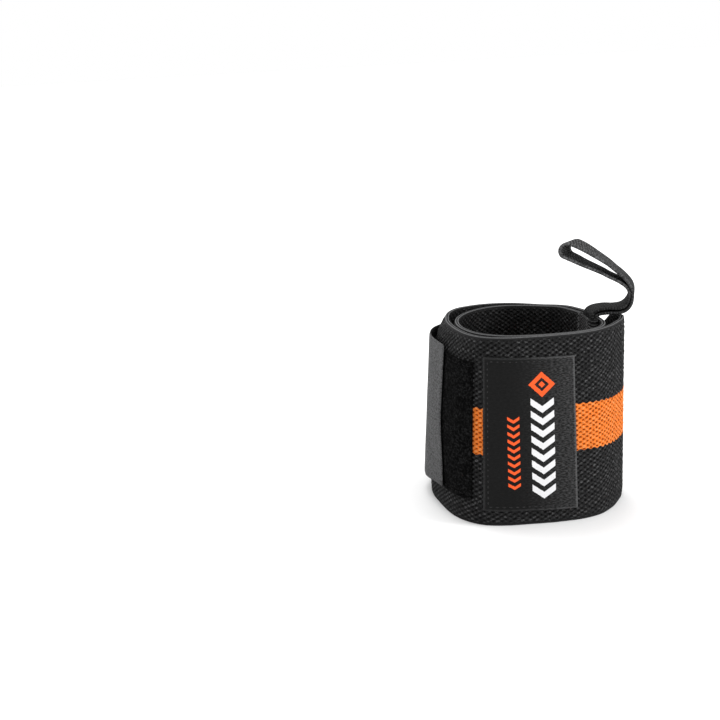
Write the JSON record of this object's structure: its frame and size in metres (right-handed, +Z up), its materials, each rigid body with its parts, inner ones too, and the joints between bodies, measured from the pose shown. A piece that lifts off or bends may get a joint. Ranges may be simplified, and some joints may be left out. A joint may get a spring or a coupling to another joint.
{
  "type": "wrist wrap",
  "caption": "Rolled elastic wrist wrap with a velour patch, a stiff hook tab, a sewn label patch and a thumb loop standing up from its rim.",
  "frame": {"origin": "middle of the outline of the roll, on the surface that it stands on", "axes": "+Z up along the roll's hollow, -Y towards the side with the label, +X towards the side over which the thumb loop leans"},
  "size_m": [0.0886, 0.0772, 0.1062],
  "materials": {
    "knit": "coarse black elastic knit with one orange stripe",
    "binding": "flat woven black binding",
    "tape": "narrow black elastic tape",
    "velour": "brushed black loop pile",
    "satin": "black woven satin",
    "backing": "plain grey back of hook tape"
  },
  "bodies": {
    "root": {"elastic_band": "knit", "end_binding": "binding", "thumb_loop": "tape", "loop_patch": "velour", "label_patch": "satin", "hook_tab": "backing"}
  },
  "joints": []
}
